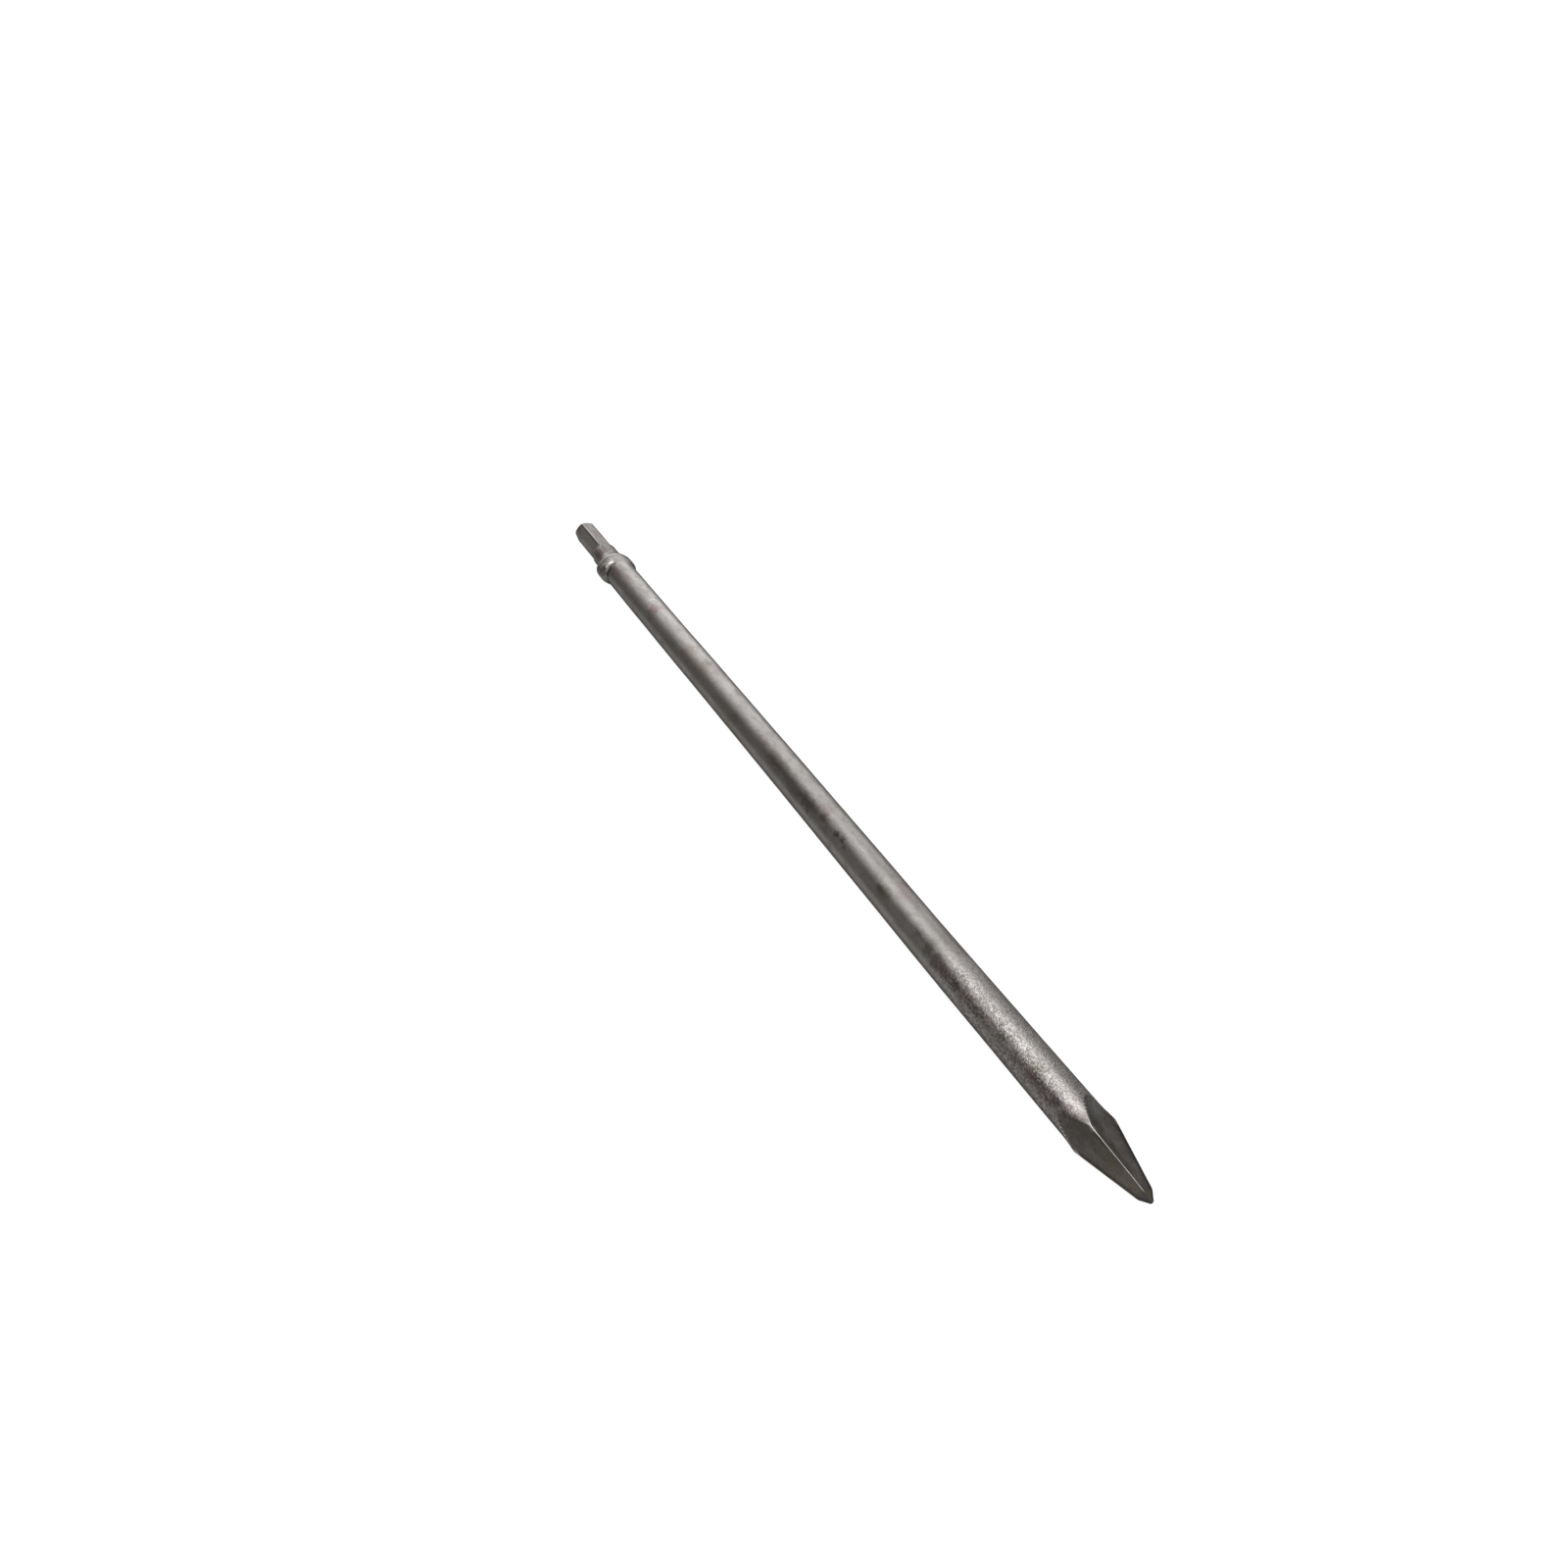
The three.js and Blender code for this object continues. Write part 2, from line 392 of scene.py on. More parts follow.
def crease_shade_mask(x, phi, radius, depth):
    """Painted shade in the folds, corners and creases, and beside the point's ridges."""
    layers = []
    # painted shade along each lap's groove
    for *place, _ in LAPS:
        present, line = lap_shape(x, phi, *place)
        layers.append(present * bell(line - 0.15, 0.75))
    hex_edge = fold(phi, HEX_PHI, 6) * radius
    # painted dark line beside each edge of the hexagon
    layers.append(0.7 * bell(hex_edge + 0.95, 0.45) * stretch(x, (1, 3), (29, 34)))
    # darker next to the striking face
    layers.append(0.5 * bell(x - 0.8, 1.0))
    layers += [strength * patch(x, phi, *place) for strength, *place in SHADED_PATCHES]
    # painted shade just inside the arches
    layers.append(0.45 * bell(depth - 0.17, 0.10) * stretch(x, (558, 561), (574, 577)))
    # painted shade beside the ridges: both sides of the lower three, the lower-phi side of the
    # topmost
    beside = fold(phi, RIDGE_PHI, 4) * radius
    topmost = np.abs(arc_gap(phi, RIDGE_PHI)) < 40
    both_sides = bell(np.abs(beside) - 0.8, 0.5) * ease(572, 576, x)
    one_side = bell(beside + 0.80, 0.28) * stretch(x, (575.5, 578), (582, 592))
    layers.append(np.where(topmost, 0.7 * one_side, 0.75 * both_sides))
    # darker along the ridges of the nose
    layers.append(0.7 * bell(beside, 0.40) * ease(604.8, 606.4, x))
    return np.maximum.reduce(layers)


def masks(x, phi, radius):
    depth = facet_depth(x, phi)
    wear_and_highlight = wear_and_highlight_mask(x, phi, radius, depth)
    crease_shade = crease_shade_mask(x, phi, radius, depth)
    return {
        # painted highlights with some wear, painted shade, and the facets
        "wear_and_highlight": np.clip(wear_and_highlight, 0, 1),
        "crease_shade": np.clip(crease_shade * (1 - wear_and_highlight), 0, 1),
        "facet": np.where(x > 557, ease(-0.03, 0.07, depth), 0.0),
    }


# ---------------------------------------------------------------- mesh

bend_stations = np.arange(0.0, LENGTH + 0.5, 1.0)
kernel = bell(np.arange(-BEND_REACH, BEND_REACH + 1), BEND_BLUR)
kernel /= kernel.sum()
rough_bend = np.interp(bend_stations, *zip(*BEND_KNOTS))
smooth_bend = np.convolve(np.pad(rough_bend, BEND_REACH, mode="edge"), kernel, mode="valid")


def bend(x):
    return np.interp(x, bend_stations, smooth_bend)


def band(first, second):
    """Quads between two rings, given the first vertex of each."""
    step = np.arange(COLUMNS)
    after = (step + 1) % COLUMNS
    return np.stack([first + step, first + after, second + after, second + step], -1)


def build_mesh():
    runs = [np.linspace(*run)[:-1] for run in RING_RUNS]
    stations = np.concatenate(runs + [[RING_RUNS[-1][1]]])
    turns = np.arange(COLUMNS) * 2 * np.pi / COLUMNS
    x, turn = np.meshgrid(stations, turns, indexing="ij")
    # columns crowd towards the ridges at the point and the hexagon's corners on the shank
    base = RIDGE_PHI * DEGREE + turn
    phi = base - ease(540, 560, x) * (0.8 / 4) * np.sin(4 * turn)
    phi -= (1 - ease(38, 48, x)) * (0.5 / 6) * np.sin(6 * (base - HEX_PHI * DEGREE))
    plain = smooth_radius(x, phi)
    radius = plain + skin(x, phi)
    grid = np.stack([x, radius * np.sin(phi) + bend(x), radius * np.cos(phi)], -1)

    last = len(stations) - 1
    verts = [grid.reshape(-1, 3)]
    faces = [band(i * COLUMNS, (i + 1) * COLUMNS) for i in range(last)]
    count = len(verts[0])
    # striking face, slightly dished by hammering, and the small rounded tip
    for row, rings, middle in ((0, FACE_RINGS, FACE_DISH), (last, TIP_RINGS, TIP_RISE)):
        centre = np.array([stations[row], bend(stations[row]), 0.0])
        previous = row * COLUMNS
        for share, shift in rings:
            verts.append(centre + (grid[row] - centre) * share + (shift, 0, 0))
            quads = band(previous, count)
            faces.append(quads[:, [0, 3, 2, 1]] if row == 0 else quads)
            previous = count
            count += COLUMNS
        verts.append([centre + (middle, 0, 0)])
        fan = np.column_stack([band(previous, count)[:, :2], np.full(COLUMNS, count)])
        faces.append(fan[:, [0, 2, 1]] if row == 0 else fan)
        count += 1

    # to metres, kept inside the CAD box
    points = np.concatenate(verts) / 1000.0
    points = np.clip(points, np.array(cad_lo) + 1e-6, np.array(cad_hi) - 1e-6)
    mesh = bpy.data.meshes.new("chisel_forging")
    mesh.from_pydata(points.tolist(), [], [face for part in faces for face in part.tolist()])
    mesh.validate()
    mesh.update()
    mesh.flip_normals()  # the faces above are wound inwards
    mesh.polygons.foreach_set("use_smooth", [True] * len(mesh.polygons))
    for name, values in masks(x, phi, plain).items():
        full = np.zeros(len(points), np.float32)
        if name == "facet":
            full[points[:, 0] > 0.6] = 1.0  # the cap of the tip
        full[: values.size] = values.ravel()
        mesh.attributes.new(name, "FLOAT", "POINT").data.foreach_set("value", full)
    mesh.update()
    return mesh


# ---------------------------------------------------------------- node helpers


class Tree:
    def __init__(self, owner):
        owner.use_nodes = True
        self.tree = owner.node_tree
        self.tree.nodes.clear()

    def node(self, kind, inputs=None, **settings):
        """A node with its settings, and its inputs linked or set by name or number."""
        node = self.tree.nodes.new(kind)
        for name, value in settings.items():
            setattr(node, name, value)
        for key, value in (inputs or {}).items():
            if isinstance(value, bpy.types.NodeSocket):
                self.tree.links.new(value, node.inputs[key])
            else:
                node.inputs[key].default_value = value
        return node

    def math(self, operation, *values):
        return self.node("ShaderNodeMath", dict(enumerate(values)), operation=operation).outputs[0]

    def times(self, a, b):
        return self.math("MULTIPLY", a, b)

    def add(self, base, part, amount):
        """base + part * amount"""
        return self.math("ADD", base, self.times(part, amount))

    def vec(self, operation, *values):
        node = self.node("ShaderNodeVectorMath", dict(enumerate(values)), operation=operation)
        return node.outputs["Value" if operation in ("LENGTH", "DOT_PRODUCT") else "Vector"]

    def ramp(self, value, span, to=(0.0, 1.0)):
        """Smooth step over span, giving the values in `to` at its ends."""
        inputs = dict(enumerate((value, *span, *to)))
        return self.node(
            "ShaderNodeMapRange", inputs, interpolation_type="SMOOTHSTEP"
        ).outputs[0]

    def between(self, value, start, end, fade):
        return self.times(
            self.ramp(value, span=(start - fade, start + fade)),
            self.ramp(value, span=(end - fade, end + fade), to=(1.0, 0.0)),
        )

    def noise(self, vector, scale, detail=2.0, rough=0.5, distortion=0.0, output="Fac"):
        inputs = {
            "Vector": vector, "Scale": scale, "Detail": detail,
            "Roughness": rough, "Distortion": distortion,
        }
        return self.node("ShaderNodeTexNoise", inputs).outputs[output]

    def tint(self, base, mask, to, strength=None):
        """Mix base towards the colour `to`; plain colours are RGB."""
        if strength is not None:
            mask = self.times(mask, strength)
        base, to = ((*c, 1) if isinstance(c, tuple) else c for c in (base, to))
        return self.node("ShaderNodeMix", {0: mask, 6: base, 7: to}, data_type="RGBA").outputs[2]

    def attribute(self, name):
        return self.node("ShaderNodeAttribute", attribute_name=name).outputs["Fac"]

    def object_place(self):
        """Object coordinates, and their x and y."""
        place = self.node("ShaderNodeTexCoord").outputs["Object"]
        split = self.node("ShaderNodeSeparateXYZ", {0: place})
        return place, split.outputs[0], split.outputs[1]

    def camera_split(self, others, camera):
        """One shader for camera rays, another for all the others."""
        is_camera = self.node("ShaderNodeLightPath").outputs["Is Camera Ray"]
        inputs = {0: is_camera, 1: others.outputs[0], 2: camera.outputs[0]}
        return self.node("ShaderNodeMixShader", inputs).outputs[0]


# ---------------------------------------------------------------- forged steel

BROWN = (0.300, 0.215, 0.175)
PLUM = (0.340, 0.250, 0.270)
OLIVE = (0.330, 0.325, 0.235)
SMOKE = (0.215, 0.200, 0.185)
SOOT = (0.110, 0.080, 0.090)
ROSE = (0.315, 0.235, 0.240)
RUST = (0.235, 0.140, 0.115)
BRIGHT = (0.780, 0.770, 0.755)
MOSS = (0.190, 0.190, 0.100)
PALE = (0.400, 0.385, 0.377)
TAN = (0.315, 0.268, 0.240)
STEEL_GREY = (0.420, 0.425, 0.415)
UMBER = (0.175, 0.158, 0.143)

# Heat tints, with one painted highlight on a face of the hexagon, later ones on top: station, phi,
# half length, half width in mm, colour, strength
TINTS_AND_FACE_LIGHT = (
    (20, 18, 7, 6, PLUM, 0.5), (44.2, -32, 5.4, 5.6, ROSE, 0.56), (42, -106, 5, 4, SMOKE, 0.45),
    (61, -114, 4.5, 4.5, SMOKE, 0.45), (17, -64, 17, 1.8, SMOKE, 0.45),
    (1.0, -44, 2.4, 4.8, SOOT, 0.95), (5, -50, 6.4, 4.0, SMOKE, 0.35),
    # the BRIGHT row at station 17, phi -104 is a painted highlight over the hexagon's lower -Y
    # face
    (37.6, -44, 2.2, 4.5, BROWN, 0.7), (17, -104, 22, 6.4, BRIGHT, 1.0),
    (45, -62, 4, 4, BROWN, 0.4), (68.6, -48, 2.2, 3.2, SOOT, 0.6),
    (69.5, -30, 2.4, 2.6, BROWN, 0.6), (57.6, -84, 1.6, 2.2, SOOT, 0.6),
    (66.8, -68, 2.4, 3.0, SMOKE, 0.6), (68.0, -68, 1.9, 3.2, SOOT, 0.6),
    (74.5, -38, 5, 3.6, PLUM, 0.9), (79, -31, 5, 3.0, PLUM, 0.8),
    (86, -22, 6, 2.4, PLUM, 0.75), (95, -30, 6.4, 5, BROWN, 0.3),
    (94.3, 5, 0.7, 2.2, BRIGHT, 0.55), (123.4, -3, 0.6, 3.4, BRIGHT, 0.7),
    (106, 12, 0.5, 1.6, BRIGHT, 0.35), (148, 9, 0.5, 2.0, BRIGHT, 0.35),
    (134, -16, 6, 3.5, PLUM, 0.8), (137, -38, 8, 4, BROWN, 0.4), (135, 25, 5, 6, PLUM, 0.3),
    (186, -20, 9, 5, BROWN, 0.4), (206, 8, 6, 2.0, SMOKE, 0.5), (208, -22, 10, 4, BROWN, 0.4),
    (215, 20, 12, 5, PLUM, 0.25), (250, -68, 16, 6, OLIVE, 0.5), (288, -30, 9, 3, PLUM, 0.6),
    (309, -36, 12, 4, BROWN, 0.45), (330, -40, 44, 5.5, SMOKE, 0.6),
    (349, -42, 16, 4, SOOT, 0.35), (357, -10, 6, 4, PLUM, 0.45),
    (361, -32, 5, 2.6, RUST, 0.5), (361, 36, 14, 6, OLIVE, 0.45),
    (374, -38, 2.6, 2.4, SOOT, 0.75), (380, -36, 2.4, 2.2, SOOT, 0.65),
    (378, -24, 2.0, 1.4, SMOKE, 0.6), (384, -48, 2.4, 2.0, SMOKE, 0.6),
    (421, -42, 6.4, 4.0, MOSS, 0.5), (418, -42, 4, 2.2, SOOT, 0.35),
    (428, 6, 12, 6, PLUM, 0.45), (461, -48, 7, 3, MOSS, 0.55), (458, -40, 12, 4, SMOKE, 0.5),
    (470, -52, 9, 4, SOOT, 0.45), (476, -55, 5.5, 3.0, RUST, 0.6), (486, -56, 6, 2.4, SOOT, 0.75),
    (483, -48, 4, 2.2, SOOT, 0.5), (494, -50, 5, 2.6, RUST, 0.6), (501, -54, 6, 2.4, SOOT, 0.55),
    (510, -50, 5, 2.4, RUST, 0.5), (519, -50, 4.5, 2.6, MOSS, 0.6), (520, -46, 3, 1.6, SOOT, 0.5),
    (468, 24, 12, 6, BROWN, 0.25), (530, -57, 6, 3.0, BROWN, 0.4), (538, -58, 7, 3.2, PLUM, 0.85),
    (541, -40, 7, 3.0, MOSS, 0.45), (545, -50, 4, 2.0, SOOT, 0.8), (549, -46, 3.6, 1.6, SOOT, 0.5),
    (552, -52, 3.6, 2.2, SOOT, 0.75), (550, -62, 5, 2.6, PLUM, 0.6), (556, -49, 4, 2.4, SOOT, 0.9),
    (555, -58, 4, 2.4, PLUM, 0.8), (559, -46, 2.6, 1.8, SOOT, 0.7),
    (563, -50, 3.0, 2.2, SOOT, 0.8), (567, -44, 2.4, 2.0, SOOT, 0.55),
    (563, -34, 2.4, 1.8, PLUM, 0.9), (568, -36, 2.2, 1.6, PLUM, 0.6),
    (571, -30, 1.6, 1.4, SMOKE, 0.6), (110, 150, 26, 8, PLUM, 0.45),
    (230, 190, 30, 9, SMOKE, 0.5), (400, 130, 24, 8, BROWN, 0.4), (510, 170, 22, 9, SMOKE, 0.5),
    (160, 95, 18, 8, OLIVE, 0.4), (300, 100, 22, 8, PLUM, 0.4), (470, 92, 16, 7, OLIVE, 0.35),
    (15, 150, 9, 6, BROWN, 0.5), (46, 160, 5, 8, BROWN, 0.6),
)
# The same columns, for the facets of the point; the steel-grey and pale rows at phi 18 to 26 paint
# light onto the facet centred at phi 23
FACET_TINTS_AND_LIGHT = (
    (569, 26, 8, 5.0, STEEL_GREY, 0.9), (582, 24, 12, 5.0, PALE, 0.85),
    (597, 18, 10, 4.2, PALE, 0.9), (598, 14, 7, 2.4, TAN, 0.5), (588, 8, 7, 1.2, TAN, 0.4),
    (574, -60, 13, 9, UMBER, 0.9), (585, -80, 8, 5, UMBER, 0.5), (587, -50, 5.5, 1.8, MOSS, 0.85),
    (599, -62, 9, 4.5, TAN, 0.95), (583, -80, 8, 2.6, PALE, 0.3), (571, -55, 5, 3.0, MOSS, 0.35),
    (590, 112, 10, 4.0, TAN, 0.6), (578, 120, 8, 4.0, PALE, 0.4), (586, 205, 9, 4.0, MOSS, 0.5),
    (597, 200, 8, 3.5, TAN, 0.5),
)
WOBBLY_LENGTH = 6.5  # tints with a longer half length get the broadly wobbled outline


def stain(tree, colour, place, radius, row, core):
    """Lay one row of a tint table at this radius; it is at full strength inside `core`."""
    station, phi, half_length, half_width, tint, strength = row
    across = radius * math.sin(phi * DEGREE) / 1000.0
    centre = (station / 1000.0, across, radius * math.cos(phi * DEGREE) / 1000.0)
    scale = (1000.0 / half_length, 1000.0 / half_width, 1000.0 / half_width)
    offset = tree.vec("MULTIPLY", tree.vec("SUBTRACT", place, centre), scale)
    mask = tree.ramp(tree.vec("LENGTH", offset), span=(1.15, core))
    return tree.tint(colour, mask, to=tint, strength=strength)


def ragged_places(tree, place):
    """Positions shifted by noise: broadly wobbled, and only ragged."""

    def wobble(**noise):
        return tree.vec("SUBTRACT", tree.noise(place, output="Color", **noise), (0.5, 0.5, 0.5))

    def shift(start, noise, reach):
        return tree.vec("ADD", start, tree.vec("MULTIPLY", noise, reach))

    wobbled = shift(place, wobble(scale=120.0), reach=(0.016, 0.012, 0.012))
    ragged = wobble(scale=480.0, detail=3.0, rough=0.6)
    wobbled = shift(wobbled, ragged, reach=(0.009, 0.006, 0.006))
    return wobbled, shift(place, ragged, reach=(0.006, 0.005, 0.005))


def tinted_and_face_lit(tree, colour, wobbled, close):
    for row in TINTS_AND_FACE_LIGHT:
        station, phi, half_length = row[:3]
        radius = 10.2 if station > 52 else 8.0
        if 55 < station < 67.5 and phi < -55:
            radius = 12.3  # on the -Y ear
        place = wobbled if half_length > WOBBLY_LENGTH else close
        colour = stain(tree, colour, place, radius, row, core=0.35)
    return colour


def facet_colour(tree, place, close):
    """Facets forged last: darker and browner, with blue-grey and olive drifts."""
    drift = tree.noise(tree.vec("MULTIPLY", place, (0.5, 1.0, 1.0)), scale=170.0)
    mask = tree.ramp(drift, span=(0.40, 0.62))
    colour = tree.tint((0.258, 0.222, 0.198), mask, to=(0.200, 0.196, 0.189))
    drift = tree.noise(tree.vec("ADD", place, (3.1, 0.7, 1.9)), scale=210.0)
    mask = tree.ramp(drift, span=(0.52, 0.68))
    colour = tree.tint(colour, mask, to=(0.205, 0.192, 0.140), strength=0.6)
    for row in FACET_TINTS_AND_LIGHT:
        radius = 8.0 * (LENGTH - row[0]) / 35.0 + 1.0  # narrows with the point
        colour = stain(tree, colour, close, radius, row, core=0.25)
    # fine dark and light mottling
    squeezed = tree.vec("MULTIPLY", place, (0.6, 1.0, 1.0))
    soft = tree.noise(squeezed, scale=520.0, detail=3.0, rough=0.6)
    mask = tree.ramp(soft, span=(0.50, 0.72))
    colour = tree.tint(colour, mask, to=(0.120, 0.110, 0.100), strength=0.45)
    mask = tree.ramp(soft, span=(0.50, 0.30))
    return tree.tint(colour, mask, to=(0.340, 0.320, 0.300), strength=0.30)


def grained(tree, colour, place, x, fine, rough_end):
    """Grain, plum flecks and chips of the blasted skin, strongest near the bar's end."""
    skin_area = tree.ramp(x, span=(0.562, 0.572), to=(1.0, 0.25))
    grain = tree.times(skin_area, tree.add(0.30, rough_end, amount=0.50))
    mask = tree.ramp(fine, span=(0.52, 0.74))
    colour = tree.tint(colour, mask, to=(0.170, 0.150, 0.140), strength=grain)
    mask = tree.ramp(fine, span=(0.46, 0.28))
    colour = tree.tint(colour, mask, to=(0.690, 0.660, 0.640), strength=grain)

    fleck = tree.noise(tree.vec("ADD", place, (1.7, 2.3, 0.4)), scale=620.0, rough=0.6)
    mask = tree.times(tree.ramp(fleck, span=(0.56, 0.70)), skin_area)
    amount = tree.add(0.22, rough_end, amount=0.45)
    colour = tree.tint(colour, mask, to=(0.270, 0.180, 0.200), strength=amount)

    # chips lie thickest on the side facing phi = -60
    chips = tree.noise(tree.vec("ADD", place, (0.9, 1.1, 2.7)), scale=880.0, rough=0.55)
    area = tree.times(rough_end, tree.ramp(x, span=(0.562, 0.572), to=(1.0, 0.1)))
    facing = (0.0, math.sin(-60 * DEGREE), math.cos(-60 * DEGREE))
    toward = tree.vec("DOT_PRODUCT", place, facing)
    area = tree.times(area, tree.ramp(toward, span=(0.0055, 0.0088), to=(0.45, 1.25)))
    for span, amount, shade in (
        ((0.53, 0.62), 0.42, (0.150, 0.115, 0.118)),
        ((0.46, 0.38), 0.34, (0.800, 0.780, 0.760)),
    ):
        mask = tree.ramp(chips, span=span)
        colour = tree.tint(colour, mask, to=shade, strength=tree.times(area, amount))
    return colour


def steel():
    material = bpy.data.materials.new("forged_steel")
    tree = Tree(material)
    place, x, y = tree.object_place()
    # the facet mask, painted shade, and painted highlights with wear
    point, crease_shade, wear_and_highlight = (tree.attribute(name) for name in ("facet", "crease_shade", "wear_and_highlight"))
    rough_end = tree.between(x, start=0.474, end=0.566, fade=0.016)

    # broad and fine mottling of the forged skin
    squeezed = tree.vec("MULTIPLY", place, (0.45, 1.0, 1.0))
    broad = tree.noise(squeezed, scale=90.0, detail=3.0, rough=0.55, distortion=0.4)
    medium = tree.noise(squeezed, scale=330.0, detail=3.0, rough=0.6, distortion=0.6)
    fine = tree.noise(place, scale=1300.0, detail=3.0, rough=0.6)
    speck = tree.noise(place, scale=2600.0)
    mask = tree.ramp(broad, span=(0.36, 0.66))
    colour = tree.tint((0.474, 0.460, 0.443), mask, to=(0.412, 0.397, 0.380))
    mask = tree.ramp(medium, span=(0.47, 0.70))
    colour = tree.tint(colour, mask, to=(0.300, 0.268, 0.250), strength=0.6)

    wobbled, close = ragged_places(tree, place)
    colour = tinted_and_face_lit(tree, colour, wobbled, close)
    # shank and neck, hardened separately: a little darker on the -Y side, with painted shade over
    # the +Y side
    shank = tree.ramp(x, span=(0.046, 0.082), to=(1.0, 0.0))
    shank_tone_and_shade = tree.ramp(y, span=(-0.0030, -0.0018), to=(0.05, 0.49))
    colour = tree.tint(colour, shank, to=(0.060, 0.052, 0.050), strength=shank_tone_and_shade)
    # the point, and its dark nose
    colour = tree.tint(colour, point, to=facet_colour(tree, place, close), strength=0.88)
    nose = tree.ramp(x, span=(0.6035, 0.6065))
    mask = tree.ramp(y, span=(-0.0015, 0.0005))
    nose_colour = tree.tint((0.185, 0.185, 0.180), mask, to=(0.190, 0.188, 0.125))
    colour = tree.tint(colour, nose, to=nose_colour, strength=0.75)
    colour = grained(tree, colour, place, x, fine, rough_end)
    # painted shade in the folds and creases, and painted highlights with some burnishing on the
    # edges
    colour = tree.tint(colour, crease_shade, to=(0.060, 0.050, 0.045), strength=0.85)
    colour = tree.tint(colour, wear_and_highlight, to=(0.930, 0.910, 0.885), strength=0.95)

    # rougher on the facets and the burr, smoother under the highlight and wear mask
    rough = tree.ramp(medium, span=(0.3, 0.75), to=(0.28, 0.36))
    rough = tree.add(rough, point, amount=0.07)
    rough = tree.math("SUBTRACT", rough, tree.times(wear_and_highlight, 0.06))
    torn = tree.times(wear_and_highlight, tree.between(x, start=0.0615, end=0.0670, fade=0.0008))
    rough = tree.add(rough, torn, amount=0.15)

    # relief, with grinding marks running across the facets
    height = tree.times(fine, tree.add(0.75, rough_end, amount=3.8))
    height = tree.add(height, speck, amount=0.35)
    height = tree.add(height, medium, amount=1.3)
    marks = tree.node(
        "ShaderNodeTexWave",
        {"Vector": place, "Scale": 190.0, "Distortion": 3.0, "Detail": 3.0, "Detail Scale": 2.0},
        wave_type="BANDS",
        bands_direction="DIAGONAL",
    )
    height = tree.add(height, tree.times(marks.outputs["Fac"], point), amount=0.5)
    bump = tree.node("ShaderNodeBump", {"Strength": 0.85, "Distance": 0.00005, "Height": height})

    shader = tree.node("ShaderNodeBsdfPrincipled", {
        "Base Color": colour,
        "Metallic": 1.0,
        "Specular Tint": (0.56, 0.56, 0.56, 1),  # oxide skin: dull at grazing angles
        "Roughness": rough,
        "Normal": bump.outputs[0],
    })
    tree.node("ShaderNodeOutputMaterial", {0: shader.outputs[0]})
    return material


# ---------------------------------------------------------------- floor

FLOOR_HALF = 4.0  # m


def reflected_floor(tree, x, y):
    """What the steel sees of the floor: a lit sheet, shaded by distance from the tool."""
    tool_half = tree.ramp(x, span=(0.020, 0.030), to=(0.003, 0.008))
    off = tree.math("SUBTRACT", tree.math("ABSOLUTE", y), tool_half)
    beside = tree.ramp(off, span=(0.0, 0.013), to=(1.0, 0.0))
    tight = tree.ramp(off, span=(0.002, 0.008), to=(1.0, 0.0))
    away = tree.ramp(off, span=(0.006, 0.075))
    # brightness on each side, with the amounts each distance takes off or adds
    minus_y = tree.math("SUBTRACT", 0.396, tree.times(tight, 0.055))
    minus_y = tree.math("ADD", minus_y, tree.add(tree.times(beside, -0.277), away, amount=-0.236))
    plus_y = tree.add(0.120, away, amount=0.344)
    side = tree.math("GREATER_THAN", y, 0.0)
    other_side = tree.math("SUBTRACT", 1.0, side)
    shade = tree.add(tree.times(side, plus_y), other_side, amount=minus_y)
    return tree.node("ShaderNodeEmission", {"Color": (1.01, 1.0, 0.98, 1), "Strength": shade})


def paper():
    """Matt pale floor: near white from the camera, with only a breath of shadow."""
    material = bpy.data.materials.new("floor_paper")
    tree = Tree(material)
    place, x, y = tree.object_place()
    grain = tree.noise(place, scale=700.0)
    white = tree.tint((0.985, 0.985, 0.985), grain, to=(1.0, 1.0, 1.0))
    glow = tree.node("ShaderNodeEmission", {"Color": white, "Strength": 0.955})
    matt = tree.node("ShaderNodeBsdfDiffuse", {"Color": (0.14, 0.14, 0.14, 1)})
    seen = tree.node("ShaderNodeAddShader", {0: glow.outputs[0], 1: matt.outputs[0]})
    surface = tree.camera_split(others=reflected_floor(tree, x, y), camera=seen)
    tree.node("ShaderNodeOutputMaterial", {0: surface})
    return material


# ---------------------------------------------------------------- light

# Overlapping soft lights round the tool: direction, radiance. Each fades out to nothing at
# LOBE_EDGE degrees from its middle.
LOBE_EDGE = 34.0
LOBES = (
    ((0.38, 0.91, 0.14), 0.28), ((-0.7, 0.7, 0.14), 0.70), ((-0.91, 0.38, 0.14), 0.57),
    ((-0.99, 0.0, 0.14), 0.91), ((-0.7, -0.7, 0.14), 0.05), ((-0.38, -0.91, 0.14), 0.11),
    ((0.91, -0.38, 0.14), 0.15), ((0.86, 0.2, 0.47), 0.02), ((0.69, 0.55, 0.47), 0.14),
    ((-0.69, 0.55, 0.47), 0.25), ((-0.86, 0.2, 0.47), 0.49), ((-0.0, -0.88, 0.47), 0.13),
    ((-0.54, 0.39, 0.74), 0.12), ((-0.67, 0.0, 0.74), 0.17), ((-0.32, 0.19, 0.93), 0.55),
    ((-0.0, -0.37, 0.93), 1.54), ((0.03, 0.0, 1.0), 1.73), ((0.85, -0.4, 0.34), 0.30),
    ((0.74, 0.36, 0.57), 0.60), ((0.6, -0.48, 0.64), 0.60), ((0.2, -0.9, 0.38), 0.10),
    ((0.6, 0.1, 0.79), 0.40), ((0.95, 0.2, 0.25), 0.40),
)
AMBIENT = 0.015


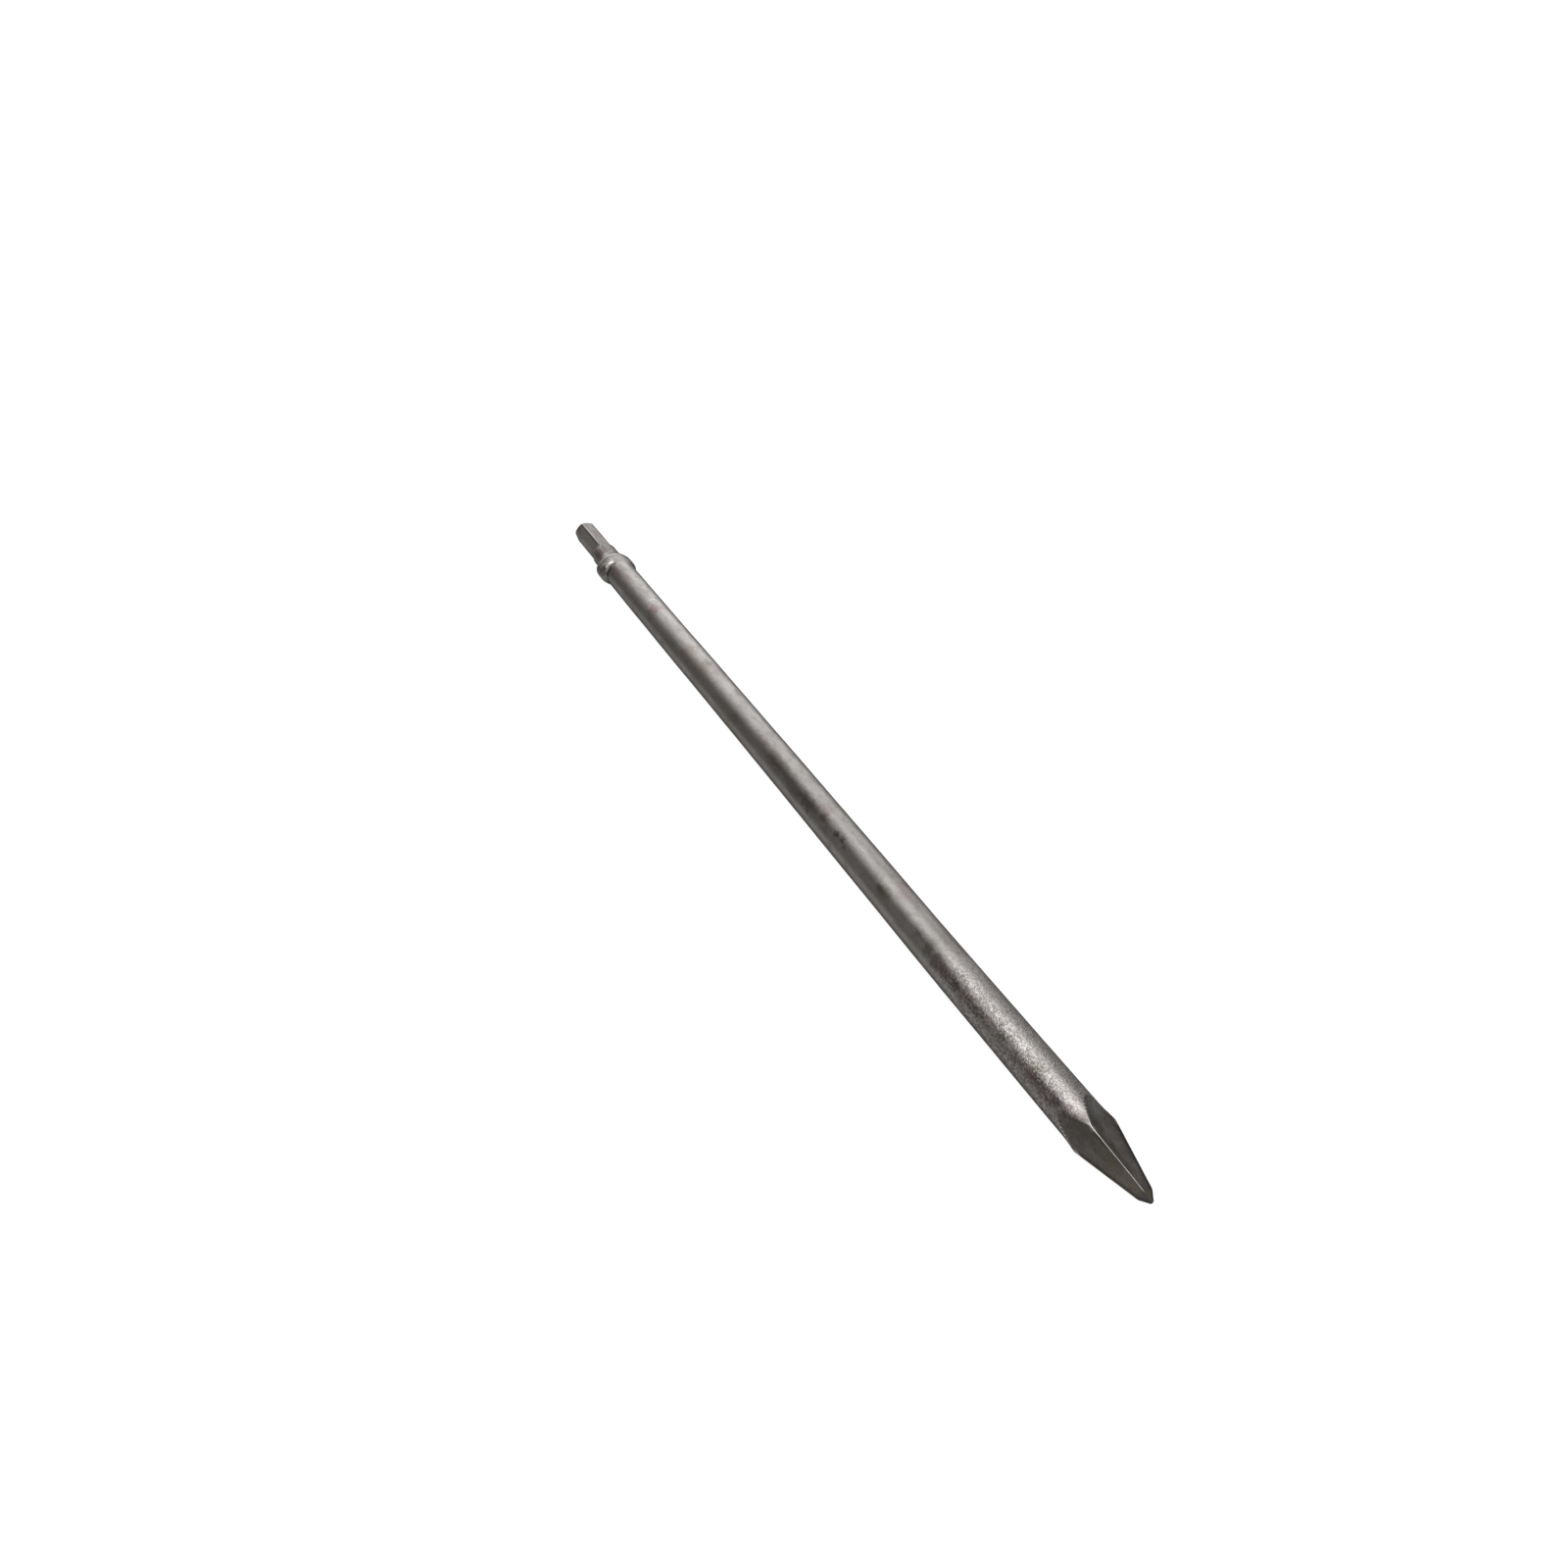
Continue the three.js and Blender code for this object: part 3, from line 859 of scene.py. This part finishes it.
def studio():
    world = bpy.data.worlds.new("studio")
    bpy.context.scene.world = world
    tree = Tree(world)
    generated = tree.node("ShaderNodeTexCoord").outputs["Generated"]
    view = tree.vec("NORMALIZE", generated)
    total = AMBIENT
    for direction, radiance in LOBES:
        cosine = tree.vec("DOT_PRODUCT", view, tuple(Vector(direction).normalized()))
        lobe = tree.ramp(cosine, span=(math.cos(LOBE_EDGE * DEGREE), 1.0), to=(0.0, radiance))
        total = tree.math("ADD", total, lobe)
    # neutral where it is bright, a little warmer where it is dim
    bright = tree.ramp(total, span=(0.05, 0.6))
    tone = tree.tint((1.06, 0.985, 0.955), bright, to=(1.0, 1.0, 1.0))
    scaled = tree.node("ShaderNodeVectorMath", {0: tone, "Scale": total}, operation="SCALE")
    light = tree.node("ShaderNodeBackground", {"Color": scaled.outputs[0]})
    white = tree.node("ShaderNodeBackground", {"Color": (1, 1, 1, 1), "Strength": 1.0})
    tree.node("ShaderNodeOutputWorld", {0: tree.camera_split(others=light, camera=white)})


# ---------------------------------------------------------------- camera

CAMERA_PLACE = (0.746243, -0.243543, 0.435082)
CAMERA_RIGHT = Vector((0.48359, 0.875295, 0.0))
CAMERA_BACK = Vector((0.654065, -0.361363, 0.664542))


def add_camera():
    data = bpy.data.cameras.new("camera")
    data.lens = 26.776
    data.sensor_width = 36.0
    data.clip_start = 0.01
    data.clip_end = 50.0
    camera = bpy.data.objects.new("camera", data)
    bpy.context.scene.collection.objects.link(camera)
    back = CAMERA_BACK.normalized()
    up = back.cross(CAMERA_RIGHT).normalized()
    right = up.cross(back).normalized()
    turn = Matrix((right, up, back)).transposed().to_4x4()
    camera.matrix_world = Matrix.Translation(CAMERA_PLACE) @ turn
    bpy.context.scene.camera = camera


# ---------------------------------------------------------------- scene


def add_chisel():
    chisel = bpy.data.objects.new("chisel_forging", build_mesh())
    bpy.context.scene.collection.objects.link(chisel)
    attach(chisel, "root")
    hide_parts("moil_point_chisel")
    chisel.data.materials.append(steel())


def add_floor():
    mesh = bpy.data.meshes.new("floor")
    corners = [(-1, -1), (1, -1), (1, 1), (-1, 1)]
    points = [(x * FLOOR_HALF, y * FLOOR_HALF, cad_lo.z) for x, y in corners]
    mesh.from_pydata(points, [], [(0, 1, 2, 3)])
    floor = bpy.data.objects.new("floor", mesh)
    bpy.context.scene.collection.objects.link(floor)
    floor.data.materials.append(paper())


add_chisel()
add_floor()
studio()
add_camera()
bpy.context.scene.view_settings.view_transform = "Standard"
bpy.context.scene.view_settings.look = "None"
